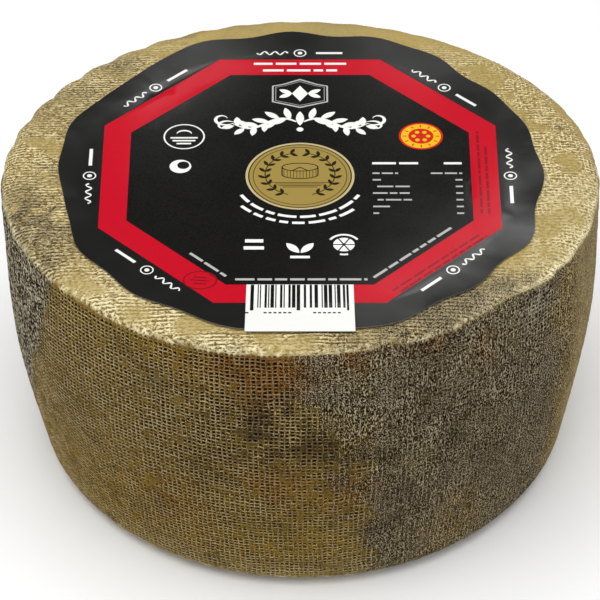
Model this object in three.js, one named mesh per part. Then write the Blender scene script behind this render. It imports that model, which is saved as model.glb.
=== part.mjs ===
// Aged sheep's milk cheese: a pressed wheel with a die-cut paper label on its top face.
// Millimetres, +Z up. The origin is the middle of the underside and the front faces -Y.
import * as THREE from 'three';
import { mergeVertices } from 'three/addons/utils/BufferGeometryUtils.js';

// Wheel
const HEIGHT = 96.5;
const TOP_RADIUS = 92.5; // at the top edge
const BASE_RADIUS = 90.1; // at the bottom edge
const BELLY = 2.5; // how far the side bows out half way down
const TOP_EDGE = { across: 8.5, down: 3.8 }; // rounding of the top edge, tight at the rim
const BASE_EDGE = 7.6; // rounding of the bottom edge
const LEAN = { x: 1.2, y: 0.7 }; // how far the base sits off the middle of the top
const TOP_OVAL = { along: 0.5, skew: 0.13 }; // long axis of the top rim, beyond its mean radius
const BASE_OVAL = { along: -1.0, skew: 0.3 };

// Folds that the cheesecloth pressed into the rim, deepest at the back left
const FOLD_COUNT = 40; // round the whole rim
const FOLD_START = THREE.MathUtils.degToRad(100);
const FOLD_MIDDLE = THREE.MathUtils.degToRad(137); // where they are deepest
const FOLD_DEPTH = 1.15;
const FOLD_LEAST = 0.15; // share of that depth at the smooth side of the rim
const FOLD_START_RADIUS = 87; // they start this far out on the top face
const FOLD_FADE = 22; // they run this far down the side

// Slow dents of the pressed side: waves round the wheel, depth and turn from top to bottom
const DENTS = [
  { waves: 5, depth: 0.35, turn: 1.7 },
  { waves: 9, depth: 0.2, turn: -2.3 },
];

// Mesh of the wheel
const SECTORS = 180;
const SIDE_STEPS = 8;
const EDGE_STEPS = 4;

// Label
const LABEL_THICKNESS = 0.4;
const LABEL_MIDDLE_Y = -4;
const LABEL_RADIUS = 78.2;
const LABEL_LENGTHENING = 4.2; // longer than wide: added to the radius front and back
// Waves of the die-cut edge: count round the label, depth in mm, phase in degrees
const LABEL_WAVES = [
  [4, 0.47, -34],
  [6, 0.34, -70],
  [7, 0.92, 97],
  [8, 0.31, -167],
  [11, 0.27, -57],
  [12, 0.33, -3],
  [15, 0.43, -63],
  [17, 0.29, -167],
  [18, 0.4, -133],
  [20, 0.34, 26],
];
const LABEL_STEPS = 144;
const TAB_WIDTH = 30; // square-cut tab at the front of the label
const TAB_END_Y = -86;

const { cos, sin, hypot, atan2, abs, exp, PI } = Math;

// Points of the wheel's half section, from the middle of the underside round to the middle of the top
function sectionPoints() {
  const points = [new THREE.Vector2(0, 0)];
  for (let i = 0; i <= EDGE_STEPS; i++) {
    const turn = (i / EDGE_STEPS) * (PI / 2);
    const radius = BASE_RADIUS - BASE_EDGE * (1 - sin(turn));
    points.push(new THREE.Vector2(radius, BASE_EDGE * (1 - cos(turn))));
  }
  for (let i = 1; i < SIDE_STEPS; i++) {
    const rise = i / SIDE_STEPS;
    const radius = BASE_RADIUS + (TOP_RADIUS - BASE_RADIUS) * rise + BELLY * sin(PI * rise);
    points.push(new THREE.Vector2(radius, BASE_EDGE + (HEIGHT - TOP_EDGE.down - BASE_EDGE) * rise));
  }
  for (let i = 0; i <= EDGE_STEPS; i++) {
    const turn = (i / EDGE_STEPS) * (PI / 2);
    const radius = TOP_RADIUS - TOP_EDGE.across * (1 - cos(turn));
    points.push(new THREE.Vector2(radius, HEIGHT - TOP_EDGE.down * (1 - sin(turn))));
  }
  points.push(new THREE.Vector2(0, HEIGHT));
  return points;
}

const ovalAt = (oval, angle) => oval.along * cos(2 * angle) + oval.skew * sin(2 * angle);

// How far a fold pulls the rim inwards at this angle
function foldAt(angle) {
  const near = 0.5 + 0.5 * cos(angle - FOLD_MIDDLE);
  const strength = FOLD_LEAST + (1 - FOLD_LEAST) * near ** 5;
  const notch = 1 - abs(sin((FOLD_COUNT / 2) * (angle - FOLD_START)));
  return FOLD_DEPTH * strength * notch;
}

// Moves a point of the true drum to where the uneven wheel has it
function unevenPoint(point) {
  const radius = hypot(point.x, point.y);
  const angle = atan2(point.y, point.x);
  const drop = 1 - point.z / HEIGHT; // 0 at the top face, 1 at the underside
  const reach = radius / TOP_RADIUS;
  const rim = THREE.MathUtils.smoothstep(radius, FOLD_START_RADIUS, TOP_RADIUS);
  const fold = foldAt(angle) * rim * exp(-(((HEIGHT - point.z) / FOLD_FADE) ** 2));
  let grown = radius + reach * (ovalAt(TOP_OVAL, angle) * (1 - drop) + ovalAt(BASE_OVAL, angle) * drop);
  for (const dent of DENTS) {
    grown += dent.depth * sin(PI * drop) * sin(dent.waves * angle + dent.turn * PI * drop);
  }
  grown -= fold;
  return new THREE.Vector3(
    grown * cos(angle) + LEAN.x * drop,
    grown * sin(angle) + LEAN.y * drop,
    point.z - 0.5 * fold * (point.z / HEIGHT),
  );
}

function wheelGeometry() {
  const drum = new THREE.LatheGeometry(sectionPoints(), SECTORS);
  drum.rotateX(PI / 2);
  drum.deleteAttribute('uv');
  drum.deleteAttribute('normal');
  const geometry = mergeVertices(drum);
  const positions = geometry.attributes.position;
  const point = new THREE.Vector3();
  for (let i = 0; i < positions.count; i++) {
    point.fromBufferAttribute(positions, i);
    const moved = unevenPoint(point);
    positions.setXYZ(i, moved.x, moved.y, moved.z);
  }
  geometry.computeVertexNormals();
  return geometry;
}

// Point on the label's waved edge at this angle round its middle
function labelEdge(angle) {
  let radius = LABEL_RADIUS - LABEL_LENGTHENING * cos(2 * angle);
  for (const [count, depth, phase] of LABEL_WAVES) {
    radius += depth * cos(count * angle - THREE.MathUtils.degToRad(phase));
  }
  return new THREE.Vector2(radius * cos(angle), LABEL_MIDDLE_Y + radius * sin(angle));
}

// The waved edge, broken at the front where the tab's straight sides run out past it
function labelOutline() {
  const half = TAB_WIDTH / 2;
  const edge = [];
  for (let i = 0; i <= LABEL_STEPS; i++) {
    const point = labelEdge(-PI / 2 + (i / LABEL_STEPS) * 2 * PI);
    if (point.y > LABEL_MIDDLE_Y || abs(point.x) > half) edge.push(point);
  }
  const right = new THREE.Vector2(half, edge[0].y);
  const left = new THREE.Vector2(-half, edge[edge.length - 1].y);
  const tab = [left, new THREE.Vector2(-half, TAB_END_Y), new THREE.Vector2(half, TAB_END_Y), right];
  return [...edge, ...tab];
}

function labelGeometry() {
  const shape = new THREE.Shape(labelOutline());
  const paper = new THREE.ExtrudeGeometry(shape, { depth: LABEL_THICKNESS, bevelEnabled: false });
  paper.deleteAttribute('uv');
  paper.deleteAttribute('normal');
  const geometry = mergeVertices(paper);
  geometry.computeVertexNormals();
  return geometry;
}

const rind = new THREE.MeshStandardMaterial({ color: 0x94804f, roughness: 0.85, metalness: 0 });
const paper = new THREE.MeshStandardMaterial({ color: 0x1e1e1c, roughness: 0.45, metalness: 0 });

const wheel = new THREE.Mesh(wheelGeometry(), rind);
wheel.name = 'wheel';

const label = new THREE.Mesh(labelGeometry(), paper);
label.name = 'label';
label.position.z = HEIGHT;

// The lean and the ovals shift the wheel's box a little, so the whole part is moved back over the origin
wheel.geometry.computeBoundingBox();
const middle = wheel.geometry.boundingBox.getCenter(new THREE.Vector3());

const cheese = new THREE.Group();
cheese.add(wheel, label);
cheese.position.set(-middle.x, -middle.y, 0);

export default cheese;
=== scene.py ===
"""Looks of an aged cheese wheel with a printed paper label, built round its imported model.

Shapes are worked out in millimetres in the model's own frame, +Z up and the front at -Y,
and turned into metres when a mesh is made.
"""

import random
from math import atan2, cos, degrees, floor, pi, radians, sin, sqrt

import bpy
import numpy as np
from mathutils import Matrix, Vector, noise
from mathutils.geometry import delaunay_2d_cdt


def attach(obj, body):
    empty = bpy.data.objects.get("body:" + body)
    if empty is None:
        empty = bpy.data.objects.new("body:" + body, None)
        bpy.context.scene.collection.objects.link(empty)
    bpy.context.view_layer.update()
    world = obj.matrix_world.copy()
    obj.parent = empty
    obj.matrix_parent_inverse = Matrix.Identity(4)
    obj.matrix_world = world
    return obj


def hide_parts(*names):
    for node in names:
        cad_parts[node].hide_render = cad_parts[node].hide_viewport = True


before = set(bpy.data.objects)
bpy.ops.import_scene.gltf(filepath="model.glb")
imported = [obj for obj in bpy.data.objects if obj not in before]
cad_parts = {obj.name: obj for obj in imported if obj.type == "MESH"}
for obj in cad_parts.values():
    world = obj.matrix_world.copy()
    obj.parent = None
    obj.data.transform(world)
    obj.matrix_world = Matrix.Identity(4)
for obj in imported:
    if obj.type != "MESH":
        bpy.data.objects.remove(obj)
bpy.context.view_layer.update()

MM = 0.001

# Wheel, the same sizes as the solid
HEIGHT = 96.5
TOP_RADIUS = 92.5
BASE_RADIUS = 90.1
BELLY = 2.5
TOP_EDGE = (8.5, 3.8)  # rounding of the top edge, across and down
BASE_EDGE = 7.6
LEAN = (1.2, 0.7)
TOP_OVAL = (0.5, 0.13)
BASE_OVAL = (-1.0, 0.3)
FOLD_COUNT = 40
FOLD_START = radians(100)
FOLD_MIDDLE = radians(137)
FOLD_DEPTH = 1.15
FOLD_LEAST = 0.15
FOLD_START_RADIUS = 87.0
FOLD_FADE = 22.0
DENTS = ((5, 0.35, 1.7), (9, 0.2, -2.3))  # waves round the wheel, depth, turn down the side

# Cheesecloth imprint
RIBS = 388  # upright threads round the wheel
ROW_PITCH = 1.27  # between the level threads
PIT_DEPTH = 0.42
COLUMN_SHIFT = 0.12  # share of the pitch by which a column of pits lies higher or lower than the next
CLOTH_START = 84.0  # length along the section, from the middle of the underside
CREASE_DROP = 2.6  # the side's cloth ends this far below the top face
CREASE_DIP = 1.4  # further down at the front left and less far at the front right
THREAD_PITCH = 1.5  # of the level threads on the top face
THREAD_STEP = 0.62  # half the pitch of the threads across them
THREAD_DEPTH = 0.2
CROWDING = 1.2  # the level threads move in by this many times the fall of the rim
MOST_ROWS = 300  # more than there are level threads
CLOTH_INNER = 66.0  # the label covers the top face inside this radius

# Label, the same outline as the solid
LABEL_MIDDLE_Y = -4.0
LABEL_RADIUS = 78.2
LABEL_LENGTHENING = 4.2
LABEL_WAVES = (
    (4, 0.47, -34), (6, 0.34, -70), (7, 0.92, 97), (8, 0.31, -167), (11, 0.27, -57),
    (12, 0.33, -3), (15, 0.43, -63), (17, 0.29, -167), (18, 0.4, -133), (20, 0.34, 26),
)
LABEL_STEPS = 216
TAB_WIDTH = 30.0
TAB_END_Y = -86.0
PAPER = 0.2  # thickness
PAPER_GAP = 0.05  # least height of the paper over the rind
PAPER_BEND = 0.12
PAPER_LIFT = 0.4  # how far the free edge stands off the rind
SHEET_GRID = 4.0  # spacing of the sheet's own points, so that it can bend


def srgb(red, green, blue):
    """Linear colour from a display colour in 0 to 255."""
    shares = (value / 255 for value in (red, green, blue))
    return tuple(((c + 0.055) / 1.055) ** 2.4 if c > 0.04 else c / 12.92 for c in shares)


# Wheel

def smoothstep(low, high, value):
    t = np.clip((value - low) / (high - low), 0, 1)
    return t * t * (3 - 2 * t)


def section_path():
    """Half section from the middle of the underside round to the middle of the top."""
    quarter = np.linspace(0, pi / 2, 17)
    rise = np.linspace(0, 1, 61)[1:-1]
    radius = np.concatenate([
        [0], BASE_RADIUS - BASE_EDGE * (1 - np.sin(quarter)),
        BASE_RADIUS + (TOP_RADIUS - BASE_RADIUS) * rise + BELLY * np.sin(pi * rise),
        TOP_RADIUS - TOP_EDGE[0] * (1 - np.cos(quarter)), [0],
    ])
    height = np.concatenate([
        [0], BASE_EDGE * (1 - np.cos(quarter)),
        BASE_EDGE + (HEIGHT - TOP_EDGE[1] - BASE_EDGE) * rise,
        HEIGHT - TOP_EDGE[1] * (1 - np.sin(quarter)), [HEIGHT],
    ])
    return radius, height


def uneven(points):
    """Moves points of the true drum to where the uneven wheel has them."""
    x, y, z = points.T
    radius = np.hypot(x, y)
    angle = np.arctan2(y, x)
    drop = 1 - z / HEIGHT
    near = 0.5 + 0.5 * np.cos(angle - FOLD_MIDDLE)
    strength = FOLD_LEAST + (1 - FOLD_LEAST) * near ** 5
    notch = 1 - np.abs(np.sin(FOLD_COUNT / 2 * (angle - FOLD_START)))
    fold = FOLD_DEPTH * strength * notch * smoothstep(FOLD_START_RADIUS, TOP_RADIUS, radius)
    fold = fold * np.exp(-(((HEIGHT - z) / FOLD_FADE) ** 2))

    def oval(shape):
        return shape[0] * np.cos(2 * angle) + shape[1] * np.sin(2 * angle)

    grown = radius + radius / TOP_RADIUS * (oval(TOP_OVAL) * (1 - drop) + oval(BASE_OVAL) * drop) - fold
    for waves, depth, turn in DENTS:
        grown += depth * np.sin(pi * drop) * np.sin(waves * angle + turn * pi * drop)
    return np.stack([
        grown * np.cos(angle) + LEAN[0] * drop,
        grown * np.sin(angle) + LEAN[1] * drop,
        z - 0.5 * fold * z / HEIGHT,
    ], 1)


def middle_of_wheel():
    """How far the uneven drum's box is off the middle of its top, as the solid is moved back by it."""
    radius, height = section_path()
    angle = np.linspace(0, 2 * pi, 721)
    drum = np.stack([
        np.outer(radius, np.cos(angle)).ravel(), np.outer(radius, np.sin(angle)).ravel(),
        np.repeat(height, len(angle)),
    ], 1)
    moved = uneven(drum)
    return (moved.max(0) + moved.min(0))[:2] / 2


MIDDLE = np.array([*middle_of_wheel(), 0.0])


def new_object(name, data):
    piece = bpy.data.objects.new(name, data)
    bpy.context.scene.collection.objects.link(piece)
    return piece


def mesh_piece(name, points, faces, material, smooth=True):
    """A mesh object from points in millimetres."""
    mesh = bpy.data.meshes.new(name)
    mesh.from_pydata((np.asarray(points) * MM).tolist(), [], faces)
    mesh.materials.append(material)
    mesh.polygons.foreach_set("use_smooth", [smooth] * len(mesh.polygons))
    mesh.update()
    return new_object(name, mesh)


def noise_at(points, size, octaves=3, shift=0.0):
    """Smooth noise from about -1 to 1 at points in millimetres, with features of this size."""
    offset = Vector((shift, -shift, 2 * shift))
    return np.array([
        noise.fractal(Vector(p) / size + offset, 0.6, 2.0, octaves) for p in points.tolist()
    ])


def crease_level(angle):
    """Height of the crease where the side's cloth ends, at an angle from the front in degrees."""
    dip = np.exp(-((angle + 20) / 18) ** 2) - np.exp(-((angle - 39) / 9) ** 2)
    return HEIGHT - CREASE_DROP - CREASE_DIP * dip


def side_points(draw):
    """Rib crossings row by row and a pit in the middle of each cloth cell, up to the top crease."""
    radius, height = section_path()
    along = np.concatenate([[0], np.cumsum(np.hypot(np.diff(radius), np.diff(height)))])
    crease = np.interp(HEIGHT - CREASE_DROP, height[:-1], along[:-1])
    rows = round((crease - CLOTH_START) / ROW_PITCH) + 1
    under = np.array([25, 45, 60, 70, 78])  # plain rings of the underside
    levels = np.concatenate([under, np.linspace(CLOTH_START, crease, rows)])
    columns = np.arange(RIBS) * 2 * pi / RIBS - pi / 2
    pitch = (crease - CLOTH_START) / (rows - 1)
    corner_s, corner_a = np.meshgrid(levels, columns, indexing="ij")
    between = levels[len(under):-1] + pitch / 2
    centre_s, centre_a = np.meshgrid(between, columns + pi / RIBS, indexing="ij")
    s = np.concatenate([[0], corner_s.ravel(), centre_s.ravel()])
    a = np.concatenate([[0], corner_a.ravel(), centre_a.ravel()])

    # The cloth wanders a little, and lies in less order on the right
    free = smoothstep(CLOTH_START, CLOTH_START + 4, s) * smoothstep(crease, crease - 2, s)
    own_shift = np.append(draw.uniform(-COLUMN_SHIFT, COLUMN_SHIFT, RIBS), 0)
    own_shift[-1] = own_shift[0]
    column = np.interp((a + pi / 2) * RIBS / 2 / pi, np.arange(RIBS + 1), own_shift)
    angle = (np.degrees(a) + 270) % 360 - 180
    lower = np.interp(crease_level(angle), height[:-1], along[:-1]) - crease
    s = s + column * pitch * free + lower * smoothstep(crease - 30, crease, s)
    still = np.stack([TOP_RADIUS * np.cos(a), TOP_RADIUS * np.sin(a), s], 1)
    loose = 0.5 + 0.5 * np.cos(a + radians(35))

    def wander(offset):
        shift = 0.5 * noise_at(still, 17, 2, offset) + (0.12 + 0.25 * loose) * noise_at(still, 2.6, 2, offset)
        return (shift + draw.uniform(-0.1, 0.1, len(still)) * (0.6 + 1.4 * loose)) * free

    a = a + wander(3.3) / TOP_RADIUS
    s = s + wander(8.8)

    def section_at(length):
        return np.interp(length, along, radius), np.interp(length, along, height)

    # Outward direction in the section, from two points either side
    r, z = section_at(s)
    ahead, behind = section_at(s + 0.6), section_at(s - 0.6)
    out = np.stack([ahead[1] - behind[1], behind[0] - ahead[0]], 1)
    out /= np.linalg.norm(out, axis=1, keepdims=True)
    points = np.stack([r * np.cos(a), r * np.sin(a), z], 1)
    outward = np.stack([out[:, 0] * np.cos(a), out[:, 0] * np.sin(a), out[:, 1]], 1)
    pit = np.zeros(len(s))
    pit[1 + corner_s.size:] = 1

    def corner(i, j):
        return 1 + i * RIBS + j % RIBS

    faces = [(0, corner(0, j + 1), corner(0, j)) for j in range(RIBS)]
    cells = []
    for i in range(len(levels) - 1):
        row = i - len(under)
        for j in range(RIBS):
            corners = (corner(i, j), corner(i, j + 1), corner(i + 1, j + 1), corner(i + 1, j))
            if row < 0:
                faces.append(corners)
                continue
            centre = 1 + corner_s.size + row * RIBS + j
            cells += [(a, b, centre) for a, b in zip(corners, corners[1:] + corners[:1])]
    rim = [corner(len(levels) - 1, j) for j in range(RIBS)]
    return points, outward, pit, faces, cells, rim


def rim_fall(radius):
    """How far the top face has fallen at a radius, and the share of the rounding that lies inside it."""
    over = np.clip((radius - TOP_RADIUS + TOP_EDGE[0]) / TOP_EDGE[0], 0, 1)
    return TOP_EDGE[1] * (1 - np.sqrt(1 - over ** 2)), over


def top_points(points, rim, draw):
    """Level threads of the top face: ridge and groove lines in turn, joined to the rim's points."""
    edge = points[rim][:, :2]
    reach = TOP_RADIUS + CROWDING * TOP_EDGE[1]
    line_reach, step_reach = floor(reach / THREAD_PITCH * 2), floor(reach / THREAD_STEP)
    line, step = (g.ravel() for g in np.meshgrid(
        np.arange(-line_reach, line_reach + 1), np.arange(-step_reach, step_reach + 1)))
    grid = np.stack([step * THREAD_STEP, line * THREAD_PITCH / 2], 1)

    # The level threads crowd together where the rim falls away
    away = np.maximum(np.hypot(*grid.T), 1)
    radii = np.linspace(0, TOP_RADIUS, 800)
    pull = 1 - np.interp(away, radii + CROWDING * rim_fall(radii)[0], radii) / away
    grid[:, 1] *= 1 - pull * np.abs(grid[:, 1]) / away

    # Only the threads between the label and the rim are needed, and they sway a little
    away = np.hypot(*grid.T)
    turn = np.degrees(np.arctan2(grid[:, 0], -grid[:, 1]))
    rim_turn = np.degrees(np.arctan2(edge[:, 0], -edge[:, 1]))
    order = np.argsort(rim_turn)
    inside = (away > CLOTH_INNER) & (away < np.interp(turn, rim_turn[order], np.hypot(*edge[order].T)) - 0.6)
    grid, line, step = grid[inside], line[inside], step[inside]
    still = np.column_stack([grid, np.zeros(len(grid))])
    for axis in (0, 1):
        sway = 0.5 * noise_at(still, 16, 2, 15.0 + axis)
        grid[:, axis] += sway + draw.uniform(-0.08, 0.08, len(grid))

    # All joined into triangles, with a few rings under the label
    turns = np.arange(60) * 2 * pi / 60
    inner = np.concatenate([[[0, 0]]] + [
        np.stack([r * np.cos(turns), r * np.sin(turns)], 1) for r in (20, 40, 56)
    ])
    flat = np.concatenate([edge, grid, inner])
    loop = [(j, (j + 1) % len(rim)) for j in range(len(rim))]
    triangles = delaunay_2d_cdt([Vector(p) for p in flat.tolist()], loop, [], 1, 1e-6, False)[2]

    # Each point is let down to the curve of the rim
    r = np.hypot(*flat[len(rim):].T)
    across, down = TOP_EDGE
    fall, over = rim_fall(r)
    flatness = np.sqrt(1 - over ** 2)
    z = HEIGHT - fall
    around = flat[len(rim):] / np.maximum(r, 1)[:, None]
    new_points = np.column_stack([flat[len(rim):], z])
    new_outward = np.column_stack([around * (over * down)[:, None], flatness * across])
    new_outward /= np.linalg.norm(new_outward, axis=1, keepdims=True)
    groove = np.concatenate([(line % 2 == 1) * (0.6 + 0.4 * (step % 2)), np.zeros(len(inner))])
    ideal = np.concatenate([np.stack([step * THREAD_STEP, line * THREAD_PITCH / 2], 1), inner])
    first = len(points)
    place = rim + list(range(first, first + len(new_points)))
    return new_points, new_outward, groove, ideal, [tuple(place[v] for v in t) for t in triangles]


def patches(points, spots):
    """Soft round patches: x, y, z, radius and strength of each."""
    total = np.zeros(len(points))
    for *middle, size, strength in spots:
        away = np.linalg.norm((points - middle) / size, axis=1)
        total = np.maximum(total, strength * np.exp(-away ** 2))
    return total


class Place:
    """Where each point of the wheel lies, with the noise and the edges that its marks share."""

    def __init__(self, points):
        self.points = points
        self.x, self.y, self.z = points.T
        self.angle = np.degrees(np.arctan2(self.x, -self.y))  # 0 at the front, positive to the right
        self.slow = noise_at(points, 40, 3, 3.1)
        self.mid = noise_at(points, 14, 3, 7.7)
        self.fine = noise_at(points, 4.5, 2, 5.2)
        self.above = self.z - crease_level(self.angle) + 0.3 * self.mid + 0.2 * self.fine  # over the crease
        self.top = smoothstep(-0.3, 0.2, self.above)  # 1 on the top face, 0 on the side

        # Angles where the grey right part starts and where the strip of ash at the left ends
        self.grey_edge = -1 + 9 * smoothstep(78, 58, self.z) + 4 * smoothstep(45, 15, self.z)
        self.strip_edge = -51.2 - 0.19 * (91 - self.z) - 3 * smoothstep(66, 50, self.z)

    def noise(self, size, octaves, shift):
        return noise_at(self.points, size, octaves, shift)

    def side_spots(self, *spots):
        """Patches on the side: angle from the front, height, radius and strength of each."""
        turned = [(TOP_RADIUS * sin(radians(s[0])), -TOP_RADIUS * cos(radians(s[0])), *s[1:]) for s in spots]
        return patches(self.points, turned)

    def top_spots(self, *spots):
        """Patches on the top face: x, y, radius and strength of each."""
        return patches(self.points, [(x, y, HEIGHT, *rest) for x, y, *rest in spots])


def ash_strip(p):
    """Strip of pale mould at the left, which fades out towards the back and the foot."""
    strip = smoothstep(1, -1, p.angle - p.strip_edge + 1.2 * p.fine)
    strip = strip * smoothstep(-106, -72, p.angle + 10 * p.slow + 14 * p.mid)
    return strip * smoothstep(30, 46, p.z + 8 * p.mid + 5 * p.fine)


def side_mould(p, strip):
    """Grey mould on the right part, the strip and the back of the side, and in a few spots."""
    right = smoothstep(-3, 4, p.angle - p.grey_edge + 6 * p.mid + 3 * p.fine)
    right = right * smoothstep(60, 50, p.angle + 6 * p.slow + 3 * p.mid)
    behind = smoothstep(95, 110, np.abs(p.angle)) * smoothstep(-0.1, 0.35, p.slow)
    spots = p.side_spots(
        (-2, 79, 6, 0.8), (5, 82, 6, 0.7), (-9, 63, 8, 0.6), (-28, 78, 8, 0.5), (16, 30, 12, 0.7),
    ) * smoothstep(-0.6, 0.2, p.fine + p.mid)
    clean = p.side_spots(
        (9, 60, 9, 1.0), (30, 14, 12, 0.9), (20, 50, 6, 0.6), (31, 26, 7, 0.8), (7, 66, 6, 1.0),
        (10, 88, 5, 0.8), (40, 85, 4, 0.6),
    )
    return np.maximum.reduce([right, strip, behind, spots]) * (1 - 0.7 * clean)


def top_mould(p):
    """Grey mould on the top face, most of it at the left."""
    spots = p.top_spots(
        (-80, -36, 10, 1.0), (-77, -46, 7, 0.9), (-82, -24, 7, 0.7), (-61, 58, 9, 0.8), (-78, -7, 7, 0.5),
        (-40, 78, 9, 0.65), (12, 87, 14, 0.3), (-22, 86, 12, 0.35), (-80, -34, 22, 1.1), (-73, -52, 8, 0.9),
        (-76, 36, 22, 0.55),
    )
    return np.clip(spots * smoothstep(-0.9, -0.1, p.mid + 0.4 * p.fine) * p.top, 0, 1)


def dusky_part(p):
    """Dusky part of the top face, right of the label's tab."""
    spots = p.top_spots(
        (14, -90, 9, 0.7), (26, -86, 10, 0.9), (38, -78, 11, 1.2), (48, -72, 10, 1.2), (57, -66, 7, 1.1),
        (66, -62, 5, 0.9),
    )
    return np.clip(spots * smoothstep(-1.6, -0.6, p.mid + 0.4 * p.fine) * p.top, 0, 1)


def rust_stains(p):
    spots = p.side_spots(
        (-6, 87, 10, 1.3), (-13, 89, 7, 1.0), (-1, 86, 7, 1.1), (9, 92, 4, 1.0), (17, 94, 5, 0.7),
        (24, 93, 5, 0.6), (-6, 44, 12, 0.6), (8, 42, 9, 0.5), (-20, 91, 8, 0.5), (-25, 30, 14, 0.4),
        (33, 84, 6, 0.5), (130, 80, 12, 0.8), (-150, 60, 15, 0.7), (170, 30, 14, 0.6), (100, 40, 12, 0.5),
    )
    return np.clip(spots * smoothstep(-1.0, 0.2, p.mid + 0.5 * p.fine), 0, 0.95)


def soot_stains(p):
    """Black mould: spots and scattered specks on the side, spots on the top face, and small nicks."""
    on_side = p.side_spots(
        (-5, 71, 8, 1.4), (-12, 91, 5, 1.0), (-7, 70, 4, 1.0), (-8, 63, 6, 0.8), (0, 62, 7, 0.7),
        (6, 58, 7, 0.7), (-27, 81, 3, 0.7), (14, 57, 7, 0.6), (10, 88, 4, 0.7), (20, 95, 5, 1.0),
        (28, 93, 5, 0.8), (14, 28, 6, 0.6), (140, 60, 5, 0.8), (-120, 70, 4, 0.8), (-170, 85, 4, 0.8),
    ) * smoothstep(-0.4, 0.5, p.fine + 0.3 * p.mid)
    scattered = 0.5 * smoothstep(0.25, 0.7, p.noise(9, 2, 12.5)) * (1 - p.top)
    on_top = p.top_spots(
        (83, 19, 2.6, 1.0), (88, 16, 2.4, 0.9), (77, 21, 2.2, 0.7), (-84, -32, 4, 0.9), (-74, -52, 3, 0.7),
        (44, -83, 3, 0.6), (60, -63, 1.6, 1.2),
    ) * smoothstep(-0.3, 0.4, p.fine)
    nicks = p.side_spots(
        (-41.1, 41.5, 1.6, 2.0), (-29.5, 73, 1.4, 1.5), (-17.9, 37.7, 1.3, 1.5), (-20.2, 75.5, 1.8, 1.5),
        (-3.9, 83, 1.6, 1.2),
    )
    return np.maximum.reduce([on_side, scattered, on_top, nicks])


def dark_clouds(p):
    """Wide dark parts of the side."""
    spots = p.side_spots(
        (-8, 66, 13, 1.0), (0, 61, 12, 1.0), (14, 57, 12, 0.9), (22, 72, 13, 0.55), (30, 55, 16, 0.7),
        (38, 68, 12, 0.3), (20, 40, 12, 0.8), (46, 50, 14, 0.3), (14, 28, 9, 0.6), (-10, 88, 8, 0.5),
        (20, 92, 10, 0.5), (40, 30, 10, 0.3), (-17, 55, 13, 0.5), (-5, 31, 13, 0.5), (34, 44, 12, 0.6),
        (150, 50, 30, 0.7), (-140, 40, 25, 0.6), (-100, 60, 20, 0.4),
    )
    return spots * smoothstep(-0.9, 0.5, p.mid + 0.4 * p.fine) * (1 - p.top)


def worn_spots(p):
    """Spots of the top face that were rubbed smooth."""
    return p.top_spots(
        (-63, -57, 4, 0.7), (-46, -77, 4.5, 1.0), (-30, -84, 4, 0.7), (62, -56, 8, 0.9), (-84, 22, 7, 0.8),
        (-76, -13, 5, 0.7), (78, -31, 7, 0.9), (71, -49, 6, 0.9),
    )


def golden_part(p, worn, dull):
    """Smoother, golden parts of the top face; all of its back is golden as well, which makes the top face
    darker towards the back.
    """
    scattered = smoothstep(0.1, 0.5, p.noise(11, 2, 21.0) + 0.2 * p.slow)
    gold = np.maximum(worn, scattered) * p.top
    return np.maximum(gold, smoothstep(60, 80, p.y) * p.top) * (1 - dull)


def pale_part(p, worn, gold, dusk, dull):
    """Cream lumps along the crease, most of them at the front left, with a painted highlight along the
    crease's edge, painted light on sunlit parts, and tufts at the foot.
    """
    front = smoothstep(100, 75, np.abs(p.angle + 5))
    lumps = smoothstep(-0.25, 0.35, p.noise(1.3, 2, 33.0) + 0.4 * p.mid)
    # A painted highlight line along the crease at the right
    line = smoothstep(40, 50, p.angle) * smoothstep(82, 74, p.angle)
    at_rim = np.hypot(p.x, p.y) > 85
    # Thin pale band just over the crease: partly cream lumps, partly a painted highlight along the edge
    crease_cream_and_highlight = np.exp(-(((p.above - 0.45) / 0.5) ** 2)) * at_rim
    crease_cream_and_highlight = crease_cream_and_highlight * (0.1 + 0.9 * front * np.maximum(lumps, line))
    bank = smoothstep(3.2, 1.2, p.above) * smoothstep(-54, -46, p.angle) * smoothstep(6, -6, p.angle)
    bank = bank * lumps * p.top
    sunlit = p.top_spots((82, -30, 20, 0.4), (72, -52, 14, 0.45), (-28, -86, 12, 0.3), (-52, -72, 12, 0.3))
    sunlit = sunlit * p.top * (1 - 0.7 * gold)
    pale = crease_cream_and_highlight * (1 - 0.5 * dusk) + (0.7 * bank * (1 - worn) + sunlit) * (1 - 0.8 * dull)
    tufts = smoothstep(6, 2, p.z) * smoothstep(0.1, 0.5, p.noise(2.6, 2, 44.0) + 0.3 * p.mid)
    return np.maximum(np.clip(pale, 0, 1), 0.6 * tufts * smoothstep(110, 80, np.abs(p.angle)))


def looseness(p):
    """How loosely the cloth lay: there its print is faint and breaks up into upright streaks."""
    right = smoothstep(-3, 4, p.angle - p.grey_edge + 5 * p.mid)
    loose = np.maximum(right, smoothstep(3, -2, p.angle - p.strip_edge))
    round_back = smoothstep(85, 108, np.abs(p.angle) + 8 * p.mid)
    loose = loose * (1 - round_back) + smoothstep(-0.3, 0.3, p.slow + 0.5 * p.mid) * round_back
    return np.where(p.top > 0.5, 0.6, loose * (1 - p.side_spots((48, 86, 9, 0.7))))


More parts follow.
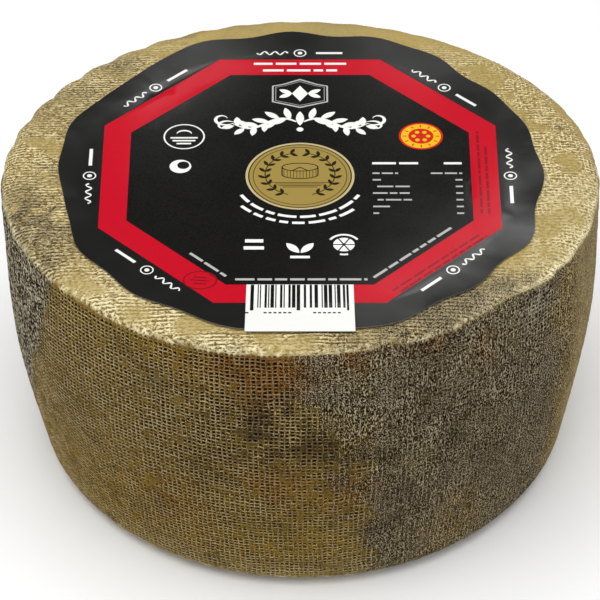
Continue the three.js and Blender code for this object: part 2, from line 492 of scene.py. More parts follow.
def print_strength(p, rows, loose, gold, dusk, grey, draw):
    """How deep and dark the print is: pits on the side, grooves on top, where the rows number the threads."""
    streaks = noise_at(p.points * (1, 1, 0.12), 1.7, 2, 81.0)
    pits = 0.85 + 0.25 * p.noise(6, 3, 41.0) + 0.15 * p.slow + (0.2 + 0.15 * loose) * streaks
    spread = draw.uniform(-0.42, 0.42, len(p.points)) * (1 + 0.4 * loose)
    pits = (pits + spread) * (1 - 0.5 * smoothstep(-2.5, -0.5, p.above)) * (1 - 0.4 * loose)
    threads = smoothstep(-0.45, 0.35, p.noise(12, 2, 51.0)) * (1 - 0.8 * gold)
    threads = np.maximum(0.58 + 0.55 * threads, 1.1 * dusk) * (1 - 0.25 * grey)
    own = draw.uniform(0.35, 1.25, MOST_ROWS)[rows + MOST_ROWS // 2]
    return np.clip(np.where(p.top > 0.5, threads * own + 0.3 * spread, pits), 0, 1.4)


def rind_fields(points, rows, draw):
    """What the rind's material reads: where each mark lies, mostly as a share from 0 to 1 at every point."""
    p = Place(points)
    on_top = p.top > 0.5
    strip = ash_strip(p)
    top_grey, dusk, worn = top_mould(p), dusky_part(p), worn_spots(p)
    dull = np.maximum(dusk, top_grey)
    gold = golden_part(p, worn, dull)
    loose = looseness(p)
    strength = print_strength(p, rows, loose, gold, dusk, top_grey, draw)

    # Share of the pale net that follows the level threads, not the upright ones
    dotted = np.maximum(smoothstep(50, 70, p.x + 8 * p.mid), dusk)
    level = np.where(on_top, 0.9 - 0.4 * dotted, 0.6 - 0.2 * loose)

    # How strong print and grain show
    far = smoothstep(58, 68, p.angle + 4 * p.slow) * smoothstep(160, 110, p.angle + 20 * p.slow)
    crisp_side = (0.8 + 0.2 * smoothstep(25, 80, p.z)) * (1 - 0.55 * far)
    crisp_top = 1 - 0.1 * smoothstep(20, 70, p.x) - 0.8 * smoothstep(45, 85, p.y)

    low = np.clip(p.side_spots((56, 84, 9, 1.0), (-42, 90, 12, 1.2), (-26, 90, 12, 1.2)), 0, 1)
    return {
        "strength": strength,
        "level": level,
        "top": p.top,
        "grey": np.where(on_top, top_grey, side_mould(p, strip)),
        "dusk": dusk,
        "rust": rust_stains(p),
        "soot": soot_stains(p),
        "gold": gold,
        "pale": pale_part(p, worn, gold, dusk, dull),
        "loose": loose,
        "low": np.maximum(smoothstep(55, 20, p.z + 10 * p.slow), low),
        "ash": np.maximum(strip, p.side_spots((47, 88, 8, 0.9))) * (1 - p.top),
        "far": far * (1 - p.top),
        "shade": dark_clouds(p),
        "crisp": np.where(on_top, crisp_top, crisp_side),
        "foot": smoothstep(16, 4, p.z) * smoothstep(80, 50, np.abs(p.angle)),
    }


def add_layer(piece, name, kind, domain, values):
    layer = piece.data.attributes.new(name, kind, domain)
    layer.data.foreach_set("vector" if kind == "FLOAT_VECTOR" else "value", values.astype(np.float32).ravel())


def make_wheel(material):
    draw = np.random.default_rng(11)
    points, outward, pit, faces, cells, rim = side_points(draw)
    more_points, more_outward, groove, ideal, top_faces = top_points(points, rim, draw)
    flat = np.concatenate([points[:, :2], ideal])
    points = np.concatenate([points, more_points])
    outward = np.concatenate([outward, more_outward])
    pit = np.concatenate([pit, groove])
    fields = rind_fields(points, np.floor(flat[:, 1] / THREAD_PITCH).astype(int), draw)
    on_top = fields["top"]
    depth = PIT_DEPTH * (1 - on_top) + THREAD_DEPTH * on_top
    lumps = 0.5 + 0.5 * noise_at(points, 3.4, 2, 1.3)
    covered = smoothstep(CLOTH_INNER + 1, CLOTH_INNER + 4, np.hypot(points[:, 0], points[:, 1]))
    rough = draw.uniform(0, 0.1, len(points))
    relief = -(pit * fields["strength"] * depth + 0.2 * lumps + rough)
    relief = relief * np.where(points[:, 2] > HEIGHT - 8, covered, 1)
    relief = np.where(points[:, 2] < 0.3, 0, relief)
    placed = uneven(points) + outward * relief[:, None] - MIDDLE
    piece = mesh_piece("wheel_rind", placed, cells + faces + top_faces, material)

    # Place in the cloth cell at each face corner: whole numbers on the threads
    vertex = np.zeros(len(piece.data.loops), np.int32)
    piece.data.loops.foreach_get("vertex_index", vertex)
    cell = np.column_stack([flat / (2 * THREAD_STEP, THREAD_PITCH), np.zeros(len(flat))])[vertex]
    square = np.array([(0, 0, 0), (1, 0, 0), (1, 1, 0), (0, 1, 0)])
    quarters = np.array([(square[k], square[(k + 1) % 4], (0.5, 0.5, 0)) for k in range(4)])
    cell[:3 * len(cells)] = np.tile(quarters.reshape(-1, 3), (len(cells) // 4, 1))
    add_layer(piece, "cell", "FLOAT_VECTOR", "CORNER", cell)
    owner = vertex.copy()
    owner[:3 * len(cells)] = np.repeat(np.array(cells)[:, 2], 3)
    add_layer(piece, "bold", "FLOAT", "CORNER", fields.pop("strength")[owner])
    for name, values in fields.items():
        add_layer(piece, name, "FLOAT", "POINT", values)
    return piece


# Label print: flat shapes in the artwork's own millimetres, from its middle and with +Y to the back

class Artwork:
    """Shapes in the order in which they are printed, each with its ink."""

    def __init__(self, ground, seed):
        self.shapes = [(ground, BLACK)]
        self.rng = random.Random(seed)

    def add(self, points, ink):
        """A shape in artwork millimetres, set on the wheel's top."""
        x, y = np.asarray(points, float).T
        placed = np.stack([0.982 * x * (1 + y / 1000), -10.3 + 1.077 * y + y * y / 1000], 1)
        self.shapes.append((placed, ink))

    def box(self, left, right, front, back, ink):
        """An upright box in the wheel's own millimetres."""
        self.shapes.append((np.array([(left, front), (right, front), (right, back), (left, back)]), ink))

    def bar(self, x, y, width, height, ink, turn=0.0):
        c, s = cos(turn), sin(turn)
        corners = ((-width, -height), (width, -height), (width, height), (-width, height))
        self.add([(x + (u * c - v * s) / 2, y + (u * s + v * c) / 2) for u, v in corners], ink)

    def disc(self, x, y, radius, ink, squash=1.0, sides=48):
        turns = np.arange(sides) * 2 * pi / sides
        self.add(np.stack([x + radius * np.cos(turns), y + radius * squash * np.sin(turns)], 1), ink)

    def ribbon(self, line, widths, ink):
        """A pen stroke along a line, as a row of small four-sided shapes."""
        line = np.asarray(line, float)
        along = np.gradient(line, axis=0)
        side = np.stack([-along[:, 1], along[:, 0]], 1)
        side /= np.linalg.norm(side, axis=1, keepdims=True)
        half = side * np.broadcast_to(widths, len(line))[:, None] / 2
        left, right = line + half, line - half
        for k in range(len(line) - 1):
            self.add([right[k], right[k + 1], left[k + 1], left[k]], ink)

    def ring(self, x, y, radius, width, ink, start=0.0, end=360.0, squash=1.0, steps=48):
        turns = np.radians(np.linspace(start, end, steps + 1))
        line = np.stack([x + radius * np.cos(turns), y + radius * squash * np.sin(turns)], 1)
        self.ribbon(line, width, ink)

    def scroll(self, x, y, heading, length, bend, curl, width, ink, steps=26):
        """A pen flourish whose bend changes evenly along it, thin at both ends; also its mirror image."""
        t = (np.arange(steps) + 0.5) / steps
        turn = radians(heading) + length * (bend * t + (curl - bend) * t * t / 2)
        step = length / steps
        line = np.cumsum(np.stack([np.cos(turn), np.sin(turn)], 1) * step, axis=0)
        pen = 0.22 + (width - 0.22) * np.sin(pi * t) ** 1.5
        for side in (1, -1):
            self.ribbon(np.stack([side * (x + line[:, 0]), y + line[:, 1]], 1), pen, ink)

    def leaf(self, x, y, heading, length, width, ink):
        """A leaf with a point at both ends; also its mirror image."""
        t = np.linspace(0, 1, 9)
        bow = width / 2 * np.sin(pi * t) ** 0.8
        c, s = cos(radians(heading)), sin(radians(heading))
        across = np.concatenate([bow[:-1], -bow[:0:-1]])
        along = np.concatenate([t[:-1], t[:0:-1]]) * length
        for side in (1, -1):
            self.add(np.stack([side * (x + along * c - across * s), y + along * s + across * c], 1), ink)

    def dashes(self, x, y, length, height, ink, turn=0.0):
        """A row of short dashes of uneven length that starts at x, y."""
        at = 0.0
        while at < length - height:
            long = min(self.rng.uniform(2.5, 7) * height, length - at)
            middle = at + long / 2
            self.bar(x + middle * cos(turn), y + middle * sin(turn), long, height, ink, turn)
            at += long + 0.9 * height


WHITE = srgb(236, 236, 232)
SILVER = srgb(180, 180, 176)
GREY_INK = srgb(150, 150, 147)
BLACK = srgb(17, 17, 16)
RED = srgb(190, 10, 34)
DARK_RED = srgb(132, 14, 30)
GOLD_INK = srgb(154, 132, 68)
PALE_GOLD = srgb(190, 174, 130)
BROWN = srgb(36, 30, 16)
YELLOW = srgb(240, 182, 22)
BRIGHT_RED = srgb(200, 34, 20)
PAPER_BACK = srgb(215, 212, 200)
PAPER_FIBRE = srgb(120, 118, 112)
STRIPE_WIDTHS = (0.33, 0.33, 0.66, 0.99)


def octagon(half, cut):
    quarter = ((half, cut), (cut, half), (-cut, half), (-half, cut))
    return [*quarter, *((-x, -y) for x, y in quarter)]


def border_marks(art):
    """The same small group of a dash, a ringed dot and a wave on each side of the border but the front."""
    for k in range(1, 8):
        turn = -pi / 2 + k * pi / 4
        c, s = cos(turn), sin(turn)

        def at(u, v):
            return v * c - u * s, v * s + u * c

        reach = 65.6
        x, y = at(-9.5, reach)
        art.bar(x, y, 8.6, 1.1, WHITE, turn + pi / 2)
        x, y = at(0, reach)
        art.ring(x, y, 1.9, 0.4, WHITE, steps=20)
        art.disc(x, y, 0.8, WHITE, sides=12)
        wave = np.linspace(0, 1, 25)
        line = [at(4 + 10 * t, reach + 0.9 * sin(6 * pi * t)) for t in wave]
        art.ribbon(line, 0.35 + 0.35 * np.sin(6 * pi * wave + 1) ** 2, WHITE)


def medallion(art):
    """Gold disc with a cut cheese wheel on a board between two leafy twigs."""
    art.disc(0, 0, 17.0, PALE_GOLD, sides=96)
    art.disc(0, 0, 16.2, BROWN, sides=96)
    art.disc(0, 0, 15.8, GOLD_INK, sides=96)
    art.ring(0, 0, 14.6, 0.22, BROWN, steps=72)
    # Wheel of cheese
    art.ring(0, 0.6, 5.6, 0.4, BROWN, -180, 0, 0.36, 24)
    art.ring(0, 4.4, 5.6, 0.4, BROWN, 0, 360, 0.36, 40)
    art.bar(-5.6, 2.5, 0.4, 4.0, BROWN)
    art.bar(5.6, 2.5, 0.4, 4.0, BROWN)
    for k in range(11):
        x = -5 + k
        low = 0.6 - 2.0 * sqrt(max(0.0, 1 - (x / 5.6) ** 2))
        art.bar(x, low + 1.9, 0.18, 3.2, BROWN)
    art.ribbon([(0, 4.4), (2.2, 2.75)], 0.4, BROWN)
    art.ribbon([(0, 4.4), (-2.2, 2.75)], 0.4, BROWN)
    # Board
    for k in range(4):
        art.bar(0, -3.4 - 0.75 * k, 17.5 - 2.2 * k, 0.28, BROWN)
    # Twigs
    for k in range(9):
        turn = radians(-62 + 17 * k)
        x, y = 10.9 * cos(turn), 0.8 + 10.9 * sin(turn)
        heading = degrees(turn) + 90
        art.leaf(x, y, heading - 48, 2.9, 1.25, BROWN)
        art.leaf(x, y, heading + 42, 2.7, 1.15, BROWN)
    turns = np.radians(np.linspace(-70, 82, 26))
    for side in (1, -1):
        art.ribbon(np.stack([side * 10.9 * np.cos(turns), 0.8 + 10.9 * np.sin(turns)], 1), 0.35, BROWN)


def garland(art):
    """Two leafy twigs that part from a bud and end in curls."""
    def twig(x):
        return 27.2 + 2.6 * np.sin(x / 21.5 * 2 * pi)

    stem = np.linspace(1.2, 21.5, 30)
    pen = 0.35 + 0.75 * np.sin(np.linspace(0.35, pi, 30))
    for side in (1, -1):
        art.ribbon(np.stack([side * stem, twig(stem)], 1), pen, WHITE)
    for k in range(6):
        x = 3.2 + 3.3 * k
        slope = degrees(atan2(twig(x + 0.1) - twig(x), 0.1))
        art.leaf(x, twig(x), slope + 52, 6.4 - 0.35 * k, 2.3, WHITE)
        art.leaf(x + 1.2, twig(x), slope - 50, 6.0 - 0.35 * k, 2.1, WHITE)
    art.scroll(21.0, 27.4, -36, 13, 0.16, 0.62, 1.1, WHITE)
    art.scroll(20.5, 27.6, 30, 10, -0.1, -0.75, 0.9, WHITE)
    art.leaf(0.0, 26.0, 90, 7.6, 2.6, WHITE)
    art.disc(0, 24.0, 1.1, WHITE, sides=16)


def plaque(art):
    """Dark plaque with a silver rim, a lozenge and two leaves at the back of the label."""
    outline = [
        (9.0, 47.4), (5.6, 48.4), (0, 51.2), (-5.6, 48.4), (-9.0, 47.4),
        (-9.0, 38.6), (-5.6, 37.4), (0, 35.4), (5.6, 37.4), (9.0, 38.6),
    ]
    y = 43.2
    steps = ((1, 1, SILVER), (0.94, 0.91, BLACK), (0.88, 0.84, GREY_INK), (0.85, 0.8, BLACK))
    for across, along, ink in steps:
        art.add([(u * across, y + (v - y) * along) for u, v in outline], ink)
    art.add([(0, 47.4), (-2.6, y), (0, 39.0), (2.6, y)], WHITE)
    art.leaf(2.6, y, 28, 4.6, 2.0, WHITE)
    art.leaf(2.6, y, -28, 4.6, 2.0, WHITE)


def left_marks(art):
    """A roundel and a small crescent."""
    x, y = -36.6, 20.2
    art.ring(x, y, 6.3, 0.5, WHITE)
    art.disc(x, y + 1.6, 2.4, WHITE, 0.8)
    art.disc(x, y + 0.9, 2.4, BLACK, 0.8)
    for k, wide in enumerate((8.6, 7.2, 4.6)):
        art.bar(x, y - 0.6 - 1.5 * k, wide, 0.75, WHITE)
    x, y = -37.4, 4.8
    art.disc(x, y, 3.4, WHITE)
    art.disc(x + 0.9, y + 0.6, 1.9, BLACK)


def right_marks(art):
    """A rosette, and rows of dashes in front of it with a second column at their right."""
    x, y = 38.2, 20.5
    art.disc(x, y, 7.0, BRIGHT_RED, sides=40)
    art.disc(x, y, 6.3, YELLOW, sides=40)
    art.disc(x, y, 4.0, BRIGHT_RED, sides=32)
    for k in range(12):
        turn = k * pi / 6
        art.bar(x + 5.2 * cos(turn), y + 5.2 * sin(turn), 1.2, 0.45, BRIGHT_RED, turn)
    for k in range(6):
        turn = k * pi / 3
        art.disc(x + 2.3 * cos(turn), y + 2.3 * sin(turn), 0.75, YELLOW, sides=10)

    left, right = 22.6, 50.6
    art.dashes(left, 6.4, 15.5, 1.1, WHITE)
    art.dashes(45.0, 6.4, 5.6, 1.1, WHITE)
    rows = ((0, 8), (0, 3.6), (1.4, 11.4), (0, 11.4), (1.4, 11.4), (0, 5.4), (0, 1.8))
    for k, (start, length) in enumerate(rows):
        y = 1.3 - 3.35 * k
        art.dashes(left + start, y, length, 0.75, SILVER)
        wide = 9.8 if k == 0 else 2.2
        art.dashes(right - wide, y, wide, 0.75, SILVER)


def front_marks(art):
    """Two arcs of dashes round the front of the medallion, with three small marks in front of them."""
    for radius, spread in ((20.6, 62), (23.6, 50)):
        turn = -90 - spread
        while turn < -90 + spread - 3:
            long = art.rng.uniform(6, 17)
            art.ring(0, 0, radius, 1.15, WHITE, turn, min(turn + long, -90 + spread), 1, 6)
            turn += long + 3

    for k, wide in enumerate((5.6, 6.4)):
        art.dashes(-14.0 - wide / 2, -32.4 - 3.4 * k, wide, 1.6, WHITE)
    art.leaf(0.2, -38.2, 50, 6.2, 2.6, WHITE)
    art.bar(0, -40.2, 6.0, 1.2, WHITE)
    x, y = 13.4, -34.2
    art.disc(x, y, 3.3, WHITE)
    for k in range(3):
        art.bar(x, y, 7, 0.45, BLACK, k * pi / 3)
    art.ring(x, y, 4.8, 0.8, WHITE, 30, 150, 1, 12)
    art.ring(x, y, 4.8, 0.8, WHITE, 255, 285, 1, 4)


def band_marks(art):
    """Rows along the inner edge of the red band, and darker rows and an oval mark on it."""
    slant = pi / 4
    art.dashes(-19.6, -50.9, 40, 0.95, SILVER)
    art.dashes(-33.5, -38.3, 17, 0.95, SILVER, -slant)
    art.dashes(22.3, -50.0, 34, 0.95, SILVER, slant)
    for k in range(2):
        shift = 2.3 * k
        art.dashes(28.0 + shift, -56.2 - 0.2 * shift, 38, 0.8, DARK_RED, slant)
        art.dashes(56.0 + shift, -19.0, 42 - 8 * k, 0.8, DARK_RED, pi / 2)
    art.ring(-30.2, -51.3, 5.0, 0.5, DARK_RED, 0, 360, 0.82)
    for k in range(3):
        art.bar(-30.2, -49.9 - 1.5 * k, 6 - 2 * abs(k - 1), 0.6, DARK_RED, -0.12)


def code_panel(art):
    """White panel on the tab with code stripes and three groups of small blocks in front of them."""
    half = TAB_WIDTH / 2
    art.box(-half, half, TAB_END_Y, -64.9, WHITE)
    at = -half + 1.2
    while at < half - 1.2:
        wide = art.rng.choice(STRIPE_WIDTHS)
        longer = abs(abs(at) - 13.5) < 1 or abs(at) < 1
        art.box(at, at + wide, -76.6 if longer else -75.4, -65.0, BLACK)
        at += wide + art.rng.choice(STRIPE_WIDTHS)
    for start, count in ((-15.0, 1), (-10.0, 6), (3.6, 6)):
        for k in range(count):
            x = start + 1.35 * k
            art.box(x, x + 0.85, -77.9, -77.3, BLACK)


RED_BAND = 1  # place of the red band in the row of shapes; it is matt with all inside it


def label_shapes():
    """The black ground and all that is printed on it, each shape over those before it."""
    art = Artwork(label_outline(), 5)
    art.add(octagon(61.95, 26.0), RED)
    art.add(octagon(53.4, 22.4), BLACK)
    for half, y in ((15.0, 59.6), (12.0, 55.9)):
        art.dashes(-half, y, 2 * half, 1.15, WHITE)
    plaque(art)
    garland(art)
    left_marks(art)
    right_marks(art)
    medallion(art)
    front_marks(art)
    band_marks(art)
    border_marks(art)
    code_panel(art)
    return art.shapes


def label_outline():
    half = TAB_WIDTH / 2
    edge = []
    for i in range(LABEL_STEPS + 1):
        angle = -pi / 2 + i / LABEL_STEPS * 2 * pi
        radius = LABEL_RADIUS - LABEL_LENGTHENING * cos(2 * angle)
        radius += sum(d * cos(n * angle - radians(phase)) for n, d, phase in LABEL_WAVES)
        x, y = radius * cos(angle), LABEL_MIDDLE_Y + radius * sin(angle)
        if y > LABEL_MIDDLE_Y or abs(x) > half:
            edge.append((x, y))
    tab = [(-half, edge[-1][1]), (-half, TAB_END_Y), (half, TAB_END_Y), (half, edge[0][1])]
    return np.array(edge + tab)


def distance_to_loop(points, loop):
    ends = np.roll(loop, -1, axis=0)
    best = np.full(len(points), 1e9)
    for a, b in zip(loop, ends):
        run = b - a
        t = np.clip(((points - a) @ run) / max(run @ run, 1e-9), 0, 1)
        best = np.minimum(best, np.linalg.norm(points - a - t[:, None] * run, axis=1))
    return best


def make_label(material):
    shapes = label_shapes()
    outline = shapes[0][0]
    flat, loops = [], []
    for shape, _ in shapes:
        area = np.sum(shape[:, 0] * np.roll(shape[:, 1], -1) - shape[:, 1] * np.roll(shape[:, 0], -1))
        loops.append([len(flat) + k for k in range(len(shape))])
        flat += (shape if area > 0 else shape[::-1]).tolist()
    steps = np.arange(-80, 81, SHEET_GRID)
    lattice = np.array([(x, y) for x in steps for y in steps])
    inside = np.hypot(lattice[:, 0], lattice[:, 1] - LABEL_MIDDLE_Y) < LABEL_RADIUS - LABEL_LENGTHENING - 4
    flat += lattice[inside].tolist()
    verts, _, triangles, _, _, made_from = delaunay_2d_cdt(
        [Vector(p) for p in flat], [], loops, 1, 1e-5, True)
    sheet = np.array([tuple(v) for v in verts])
    kept = [(tuple(t), origin) for t, origin in zip(triangles, made_from) if 0 in origin]

    bend = PAPER_BEND * (0.5 + 0.5 * noise_at(np.column_stack([sheet, np.zeros(len(sheet))]), 30, 1, 61.0))
    lift = PAPER_LIFT * smoothstep(5, 0, distance_to_loop(sheet, outline)) * (0.5 + 4 * bend)
    under = HEIGHT + PAPER_GAP + bend + lift
    low = np.column_stack([sheet, under]) - MIDDLE
    high = np.column_stack([sheet, under + PAPER]) - MIDDLE
    count = len(sheet)
    edges = {(a, b) for t, _ in kept for a, b in zip(t, t[1:] + t[:1])}
    rim = [(a, b) for a, b in edges if (b, a) not in edges]
    faces = [tuple(count + v for v in t) for t, _ in kept]
    faces += [t[::-1] for t, _ in kept]
    faces += [(a, b, count + b, count + a) for a, b in rim]
    inks = [(*shapes[max(origin)][1], RED_BAND not in origin) for _, origin in kept]
    inks += [(*PAPER_BACK, 0)] * len(kept)
    inks += [(*PAPER_FIBRE, 0)] * len(rim)

    piece = mesh_piece("paper_label", np.concatenate([low, high]), faces, material)
    piece.data.set_sharp_from_angle(angle=radians(40))

    # The alpha of the ink is 1 where the print is glossy
    layer = piece.data.attributes.new("ink", "FLOAT_COLOR", "FACE")
    layer.data.foreach_set("color", np.array(inks, np.float32).ravel())
    return piece


# Materials

class Nodes:
    """A new material and short ways to add and link its shader nodes."""

    def __init__(self, name):
        self.material = bpy.data.materials.new(name)
        self.material.use_nodes = True
        self.tree = self.material.node_tree
        self.shader = self.tree.nodes["Principled BSDF"]
        self.place = self.add("TexCoord").outputs["Object"]

    def add(self, kind, inputs=(), **settings):
        """A node with its settings; each input, by name or number, is a socket or a value."""
        node = self.tree.nodes.new("ShaderNode" + kind)
        for key, value in settings.items():
            setattr(node, key, value)
        for key, value in dict(inputs).items():
            self.set(node.inputs[key], value)
        return node

    def set(self, socket, value):
        if isinstance(value, bpy.types.NodeSocket):
            self.tree.links.new(value, socket)
        elif socket.type == "RGBA":
            socket.default_value = (*value, 1)
        else:
            socket.default_value = value

    def field(self, name, output="Fac"):
        return self.add("Attribute", attribute_name=name).outputs[output]

    def stretched(self, *scale):
        """Place in which a noise comes out longer along each axis whose scale is below 1."""
        return self.add("Mapping", {"Vector": self.place, "Scale": scale}).outputs[0]

    def noise(self, size, detail, place=None):
        """Noise from 0 to 1 with features of this size in millimetres."""
        inputs = {"Vector": place or self.place, "Scale": 1 / (size * MM), "Detail": detail}
        return self.add("TexNoise", inputs).outputs["Fac"]

    def calc(self, operation, a, b=0.0):
        return self.add("Math", {0: a, 1: b}, operation=operation).outputs[0]

    def times(self, first, *others):
        for other in others:
            first = self.calc("MULTIPLY", first, other)
        return first

    def ramp(self, value, low, high, start=0.0, end=1.0):
        """Smooth step of a value from start at low to end at high."""
        inputs = {0: value, 1: low, 2: high, 3: start, 4: end}
        return self.add("MapRange", inputs, interpolation_type="SMOOTHSTEP").outputs[0]

    def mix(self, share, first, second):
        """A colour on the way from the first to the second."""
        return self.add("Mix", {0: share, 6: first, 7: second}, data_type="RGBA").outputs[2]

    def layered(self, colour, *layers):
        """A colour with others laid over it in turn, each with its share."""
        for share, over in layers:
            colour = self.mix(share, colour, over)
        return colour

    def blend(self, share, first, second):
        """A number on the way from the first to the second."""
        return self.add("Mix", {0: share, 2: first, 3: second}, data_type="FLOAT").outputs[0]

    def finish(self, colour, roughness, gloss, height=None, distance=0.1, strength=1.0):
        self.set(self.shader.inputs["Base Color"], colour)
        self.set(self.shader.inputs["Roughness"], roughness)
        self.set(self.shader.inputs["Specular IOR Level"], gloss)
        if height is not None:
            inputs = {"Strength": strength, "Distance": distance * MM, "Height": height}
            self.set(self.shader.inputs["Normal"], self.add("Bump", inputs).outputs[0])
        return self.material


# The side's colours are darker than the top face's: partly the rind's own colour, partly painted shade on the
# side, which gets less of the light from above.
OLIVE = srgb(102, 82, 32)
TAN = srgb(116, 94, 42)
OCHRE = srgb(122, 97, 33)
GREY = srgb(84, 72, 46)
RUST = srgb(120, 77, 20)
SOOT = srgb(44, 34, 20)
# Colour of the pits and grooves: partly the rind's own dark colour, partly painted shade in the hollows.
PIT = srgb(26, 10, 0)
# Pale colour of the thread net on the side: partly pale thread, partly painted highlight on the lit crests.
FLECK_AND_HIGHLIGHT = srgb(200, 184, 146)
PALE_GREY = srgb(190, 179, 152)
SAND = srgb(152, 134, 90)
ASH = srgb(137, 129, 109)
STRAW = srgb(182, 161, 105)
GOLD = srgb(174, 152, 90)
CREAM = srgb(250, 238, 194)
# Colour of the grooves on the top face, partly painted shade in them.
GROOVE = srgb(84, 58, 12)
TOP_GREY = srgb(114, 101, 73)
DUSK = srgb(124, 110, 80)


def cloth_print(n, top, bold):
    """How far inside a cloth cell a point lies, for the dark pits (partly the rind's colour, partly painted
    shade in the hollows), and how near it is to the pale threads between the cells (partly pale thread,
    partly painted highlight).
    """
    cell = n.add("SeparateXYZ", {0: n.field("cell", "Vector")}).outputs
    across, along = (n.times(n.calc("PINGPONG", cell[k], 0.5), 2.0) for k in (0, 1))
    pit = n.times(n.ramp(across, 0.22, 0.66), n.ramp(along, 0.17, 0.67), bold)
    groove = n.times(n.ramp(across, -0.5, 0.7), n.ramp(along, 0.4, 0.9), bold)
    upright = n.ramp(across, 0.0, 0.5, 1.0, 0.0)
    arched = n.ramp(across, 0.05, 0.55, n.blend(top, 0.0, 0.6), 1.0)
    level = n.times(n.ramp(along, 0.0, 0.5, 1.0, 0.0), arched)
    net = n.times(n.blend(n.field("level"), upright, level), n.ramp(bold, 0.0, 1.2, 0.5, 1.5))
    return n.blend(top, pit, groove), n.times(net, n.blend(top, 1.2, 1.1))


def side_colour(n, grey, ash, light, dark, blotch, speck):
    rust = n.field("rust")
    return n.layered(
        n.mix(n.ramp(n.noise(24, 3), 0.4, 0.6), OLIVE, TAN),
        (n.times(n.field("low"), 0.8), OCHRE),
        (n.times(n.field("foot"), 0.5), SAND),
        (n.times(grey, n.ramp(blotch, 0.2, 0.5, 0.6, 1.0)), GREY),
        (n.times(n.field("far"), 0.9), SAND),
        (n.times(ash, 0.9), ASH),
        (rust, RUST),
        (n.ramp(n.noise(4, 3), 0.42, 0.7, 0.0, 0.3), SOOT),
        # Pale net of threads: partly pale thread, partly painted highlight on their crests
        (n.times(light, n.blend(rust, 0.85, 0.5)), n.mix(grey, FLECK_AND_HIGHLIGHT, PALE_GREY)),
        (n.times(n.field("shade"), n.ramp(blotch, 0.2, 0.6, 0.3, 0.68)), SOOT),
        (n.times(n.field("soot"), n.ramp(speck, 0.35, 0.6), 0.7), SOOT),
        # Dark pits: partly the rind's colour, partly painted shade in the hollows
        (n.times(dark, 0.95), PIT),
    )


def top_colour(n, grey, dusk, light, dark, blotch, speck):
    gold = n.field("gold")
    dull = n.calc("ADD", grey, dusk)
    groove = n.mix(n.ramp(dull, 0.2, 0.9), GROOVE, PIT)
    return n.layered(
        n.mix(n.times(gold, 0.9), STRAW, GOLD),
        (n.ramp(blotch, 0.35, 0.75, 0.0, 0.4), GOLD),
        (n.times(grey, 0.9), TOP_GREY),
        (dusk, DUSK),
        # Cream net of threads: partly pale thread, partly painted highlight on their crests
        (n.times(light, n.blend(gold, 0.8, 0.15), n.blend(dull, 1.0, 0.35)), CREAM),
        # Dark grooves: partly the rind's colour, partly painted shade in them
        (n.times(dark, n.blend(gold, 1.0, 0.3), n.blend(dusk, 0.75, 1.0)), groove),
        (n.times(n.field("soot"), n.ramp(speck, 0.4, 0.6)), SOOT),
    )


def rind_material():
    n = Nodes("rind")
    top, loose, grey, dusk, ash = (n.field(name) for name in ("top", "loose", "grey", "dusk", "ash"))
    bold, crisp = n.field("bold"), n.field("crisp")
    grain = n.noise(0.34, 1)
    crumb = n.noise(0.31, 1)
    speck = n.noise(1.1, 2)
    blotch = n.noise(7, 3)
    streak = n.noise(0.3, 1, n.stretched(1, 1, 0.35))
    dash = n.noise(0.5, 1, n.stretched(0.5, 1, 1))
    ash_grain = n.noise(0.5, 1, n.stretched(1, 0.4, 0.55))

    # Broken up by grain, by upright streaks on the loose side and by level dashes on top
    lively = n.blend(n.ramp(n.noise(9, 2), 0.4, 0.6), crumb, streak)
    lively = n.blend(ash, lively, ash_grain)
    wild_side = n.times(loose, n.calc("SUBTRACT", lively, 0.487), 7.8)
    wild_top = n.calc("SUBTRACT", n.blend(dusk, dash, crumb), 0.5)
    wild_top = n.times(wild_top, n.blend(dusk, 4.2, 7.5))
    wild_grain = n.times(n.calc("SUBTRACT", grain, 0.5), 2.0)
    wild = n.calc("ADD", n.blend(top, wild_side, wild_top), wild_grain)

    # Dark pits and grooves, partly the rind's colour and partly painted shade in the hollows, and the pale
    # net of threads between them, partly pale thread and partly painted highlight on the crests
    print_depth, net = cloth_print(n, top, bold)
    dark = n.times(n.ramp(n.calc("ADD", print_depth, wild), 0.42, 0.62), crisp)
    light = n.times(n.ramp(n.calc("SUBTRACT", net, wild), 0.52, 0.76), crisp)

    # Fine upright cracks in the strip of ash
    line = n.calc("ABSOLUTE", n.calc("SUBTRACT", n.noise(1.4, 1, n.stretched(1, 0.5, 0.18)), 0.5))
    crack = n.times(n.ramp(line, 0.01, 0.05, 1.0, 0.0), n.ramp(n.noise(4, 2), 0.4, 0.5), ash)
    hollow = n.calc("MAXIMUM", dark, crack)

    side = side_colour(n, grey, ash, light, hollow, blotch, speck)
    face = top_colour(n, grey, dusk, light, dark, blotch, speck)
    # The side's darker colours stand partly for painted shade under the light from above.
    colour = n.mix(top, side, face)
    crumbly = n.calc("SUBTRACT", grain, n.times(dark, 0.2))
    # Pale cream where the pale field is: cream lumps and tufts, with the painted highlight along the crease
    # and painted light on sunlit parts
    colour = n.mix(n.field("pale"), colour, n.mix(n.ramp(crumbly, 0.36, 0.48), colour, CREAM))
    height = n.calc("SUBTRACT", n.calc("ADD", grain, n.times(light, 0.5)), hollow)
    gloss = n.times(n.blend(top, 0.05, 0.2), n.calc("SUBTRACT", 1.0, dark))
    return n.finish(colour, n.ramp(grain, 0.3, 0.7, 0.62, 0.85), gloss, height, 0.25, 0.8)


def paper_material():
    n = Nodes("label_paper")
    fibre = n.noise(0.35, 3)
    cloud = n.noise(9, 2)
    colour = n.mix(n.ramp(fibre, 0.3, 0.7, 0.0, 0.03), n.field("ink", "Color"), PAPER_FIBRE)
    roughness = n.ramp(cloud, 0.3, 0.7, 0.12, 0.16)
    gloss = n.blend(n.field("ink", "Alpha"), 0.08, 0.4)
    return n.finish(colour, roughness, gloss, fibre, 0.01, 0.2)


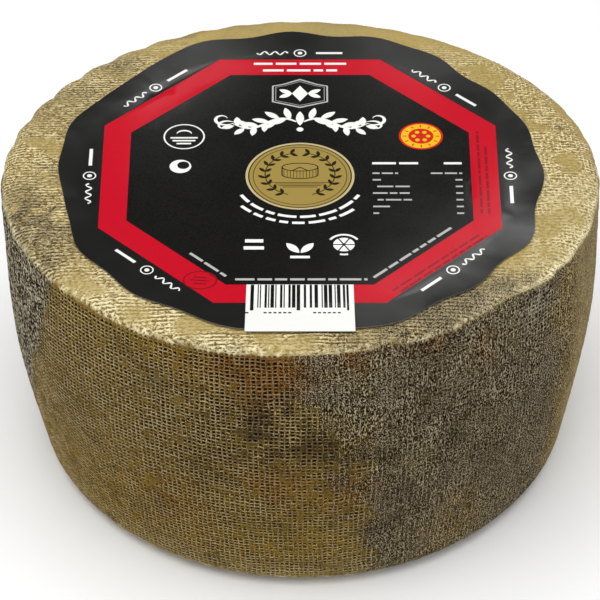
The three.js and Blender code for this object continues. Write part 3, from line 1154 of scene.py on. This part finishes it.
# Lights, floor and camera

CAMERA_UP = radians(37.45)
CAMERA_DISTANCE = 555.0
LENS = 101.4
SHIFT_Y = -0.0313


def make_camera():
    data = bpy.data.cameras.new("camera")
    data.lens = LENS
    data.sensor_width = 36
    data.shift_y = SHIFT_Y
    camera = new_object("camera", data)
    target = Vector((-MIDDLE[0], -MIDDLE[1], HEIGHT / 2)) * MM
    back = Vector((0, -cos(CAMERA_UP), sin(CAMERA_UP)))
    camera.location = target + back * CAMERA_DISTANCE * MM
    camera.rotation_euler = (pi / 2 - CAMERA_UP, 0, 0)
    bpy.context.scene.camera = camera


def area_light(name, place, length, width, power, roll=0.0):
    """A soft light that faces the middle of the wheel, its length turned by the roll."""
    data = bpy.data.lights.new(name, "AREA")
    data.shape = "RECTANGLE"
    data.size = length
    data.size_y = width
    data.energy = power
    lamp = new_object(name, data)
    lamp.location = place
    facing = (Vector((0, 0, 0.07)) - Vector(place)).to_track_quat("-Z", "Y").to_matrix()
    lamp.rotation_euler = (facing @ Matrix.Rotation(roll, 3, "Z")).to_euler()


def make_studio():
    area_light("overhead", (-0.1, -0.15, 1.1), 1.0, 1.0, 8)

    # Strips behind the wheel, seen as soft sheen on the label
    area_light("strip_front", (0.205, 1.3, 1.135), 0.38, 0.11, 0.43, radians(39))
    area_light("strip_left", (-0.13, 1.3, 0.812), 0.17, 0.07, 0.1, radians(32))
    area_light("strip_right", (0.128, 1.3, 0.803), 0.1, 0.06, 0.027, radians(-23))
    area_light("strip_middle", (0.08, 1.3, 0.86), 0.16, 0.05, 0.015, radians(-40))

    # Pale room with a dark wall behind the wheel, so that the label stays black
    world = bpy.data.worlds.new("studio")
    world.use_nodes = True
    tree = world.node_tree
    direction = tree.nodes.new("ShaderNodeTexCoord")
    split = tree.nodes.new("ShaderNodeSeparateXYZ")
    wall = tree.nodes.new("ShaderNodeMapRange")
    tree.links.new(direction.outputs["Generated"], split.inputs[0])
    tree.links.new(split.outputs["Y"], wall.inputs["Value"])
    for socket, value in (("From Min", 0.35), ("From Max", 0.7), ("To Min", 0.75), ("To Max", 0.1)):
        wall.inputs[socket].default_value = value
    background = tree.nodes["Background"]
    background.inputs["Color"].default_value = (1, 1, 1, 1)
    tree.links.new(wall.outputs["Result"], background.inputs["Strength"])
    bpy.context.scene.world = world
    bpy.context.scene.view_settings.view_transform = "Standard"

    n = Nodes("floor")
    material = n.finish((0.96, 0.96, 0.96), 0.9, 0.2)
    corners = [(-3000, -3000, 0), (3000, -3000, 0), (3000, 3000, 0), (-3000, 3000, 0)]
    mesh_piece("floor", corners, [(0, 1, 2, 3)], material, smooth=False)


make_camera()
make_studio()

wheel = make_wheel(rind_material())
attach(wheel, "root")
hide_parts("wheel")

label = make_label(paper_material())
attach(label, "root")
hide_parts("label")
